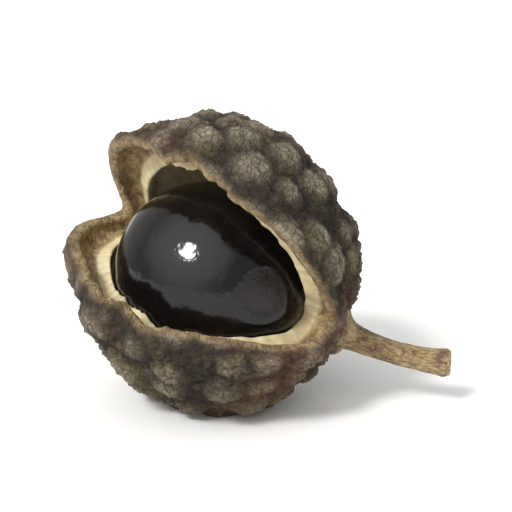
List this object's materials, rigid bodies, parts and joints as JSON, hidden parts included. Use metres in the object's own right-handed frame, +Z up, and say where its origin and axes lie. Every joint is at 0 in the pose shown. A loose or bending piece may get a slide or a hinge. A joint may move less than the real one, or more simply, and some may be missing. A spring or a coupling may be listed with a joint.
{
  "type": "sichuan peppercorn",
  "caption": "Dried Sichuan peppercorn on its stalk: a warty husk, split open along its seam and pale inside, that holds a glossy black seed. Used whole or ground as a spice.",
  "frame": {"origin": "middle of the small flat spot on which the husk lies", "axes": "+Z up from the surface it lies on, +X towards the stalk, -Y the side its split opens to"},
  "size_m": [0.0067, 0.0047, 0.0049],
  "materials": {
    "husk": "dry, warty and dull outside, grey-brown with paler gland tops, and smooth pale tan inside",
    "seed": "glossy near-black",
    "stalk": "dry and dull, tan-brown"
  },
  "bodies": {
    "root": {"husk": "husk", "seed": "seed", "stalk": "stalk"}
  },
  "joints": []
}
